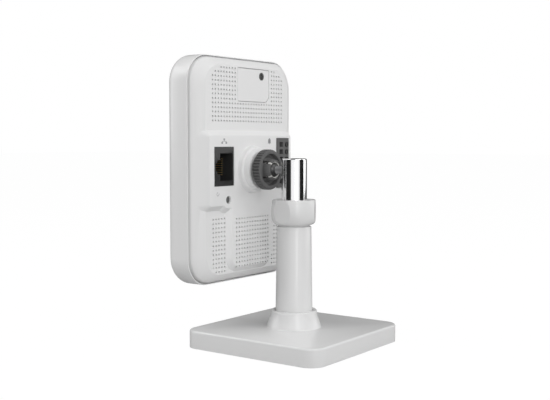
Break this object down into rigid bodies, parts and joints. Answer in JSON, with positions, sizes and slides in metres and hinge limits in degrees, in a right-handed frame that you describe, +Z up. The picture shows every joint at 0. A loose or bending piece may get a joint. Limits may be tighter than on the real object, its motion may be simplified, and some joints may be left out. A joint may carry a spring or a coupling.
{
  "type": "security camera",
  "caption": "Desk security camera: flat rounded head seen with its vented back, ball joint with a knurled lock nut, chrome telescoping post and a square weighted base.",
  "frame": {"origin": "middle of the base's underside, under the post's axis", "axes": "+Z up along the post, -Y the way the lens looks, +X towards the network socket"},
  "size_m": [0.0744, 0.0814, 0.1289],
  "materials": {
    "gloss_white": "gloss white moulded plastic",
    "satin_white": "satin white moulded plastic with a fine texture",
    "stand_white": "semi-gloss painted white plastic",
    "dark_grey": "dark grey engineering plastic",
    "black_plastic": "gloss black plastic",
    "chrome_plate": "polished chrome plate",
    "steel": "zinc-plated steel",
    "black_steel": "black-oxide steel",
    "gold_contact": "gold-plated spring contact",
    "natural_acetal": "natural acetal",
    "soft_pad": "soft rubber",
    "circuit_board": "green solder mask",
    "clear_glass": "coated optical glass",
    "clear_plastic": "clear acrylic",
    "frosted_white": "translucent white polyethylene",
    "heat_aluminium": "anodised aluminium",
    "label_black": "black moulded chip package"
  },
  "bodies": {
    "stand": {"base_cover": "stand_white", "base_floor": "steel", "base_weight": "steel", "base_pad": "soft_pad", "base_screws": "steel", "column": "stand_white", "column_screw": "steel", "clamp_bush": "natural_acetal"},
    "collar": {"collar_nut": "stand_white"},
    "slider": {"guide_bush": "natural_acetal"},
    "mast": {"post": "chrome_plate", "guide_screw": "steel", "ball_stud": "steel"},
    "tilt_seat": {"ball_seat_rear": "natural_acetal"},
    "pan_seat": {"ball_seat_front": "natural_acetal"},
    "lock_nut": {"knurled_nut": "dark_grey"},
    "reset": {"reset_button": "dark_grey"},
    "head": {"socket_collet": "dark_grey", "front_shell": "gloss_white", "back_shell": "satin_white", "card_cover": "satin_white", "cover_screw": "black_steel", "board_screws": "steel", "reset_switch": "black_plastic", "lan_jack": "dark_grey", "lan_contacts": "gold_contact", "alarm_terminal": "dark_grey", "terminal_screws": "black_steel", "card_socket": "label_black", "memory_card": "label_black", "main_board": "circuit_board", "processor": "label_black", "heat_sink": "heat_aluminium", "light_led": "frosted_white", "light_window": "clear_plastic", "status_light_pipe": "clear_plastic", "status_led": "frosted_white", "microphone": "steel", "motion_sensor": "steel", "motion_lens": "frosted_white", "speaker_frame": "black_plastic", "speaker_cone": "label_black", "lens_bezel": "black_plastic", "lens_barrel": "black_plastic", "lens_front_glass": "clear_glass", "lens_rear_glass": "clear_glass", "lens_holder": "black_plastic", "ir_cut_filter": "clear_glass", "image_sensor": "label_black", "sensor_board": "circuit_board", "sensor_ribbon": "natural_acetal"}
  },
  "joints": [
    {"name": "collar_turn", "type": "hinge", "parent": "stand", "child": "collar", "pos_m": [0, 0, 0.059], "axis": [0, 0, 1], "range_deg": [-30, 60]},
    {"name": "post_slide", "type": "slide", "parent": "stand", "child": "slider", "axis": [0, 0, 1], "range_m": [-0.003, 0.018]},
    {"name": "post_swivel", "type": "hinge", "parent": "slider", "child": "mast", "pos_m": [0, 0, 0.03], "axis": [0, 0, 1], "range_deg": [-180, 180]},
    {"name": "head_tilt", "type": "hinge", "parent": "mast", "child": "tilt_seat", "pos_m": [0, -0.0126, 0.078], "axis": [1, 0, 0], "range_deg": [-20, 15]},
    {"name": "head_pan", "type": "hinge", "parent": "tilt_seat", "child": "pan_seat", "pos_m": [0, -0.0126, 0.078], "axis": [0, 0, 1], "range_deg": [-20, 20]},
    {"name": "head_roll", "type": "hinge", "parent": "pan_seat", "child": "head", "pos_m": [0, -0.0126, 0.078], "axis": [0, 1, 0], "range_deg": [-180, 180]},
    {"name": "lock_nut_turn", "type": "hinge", "parent": "head", "child": "lock_nut", "pos_m": [0, -0.0146, 0.078], "axis": [0, 1, 0], "range_deg": [-30, 60]},
    {"name": "reset_press", "type": "slide", "parent": "head", "child": "reset", "axis": [0, -1, 0], "range_m": [0, 0.0005], "stiffness_N_per_m": 600, "springref_m": -0.0002}
  ]
}
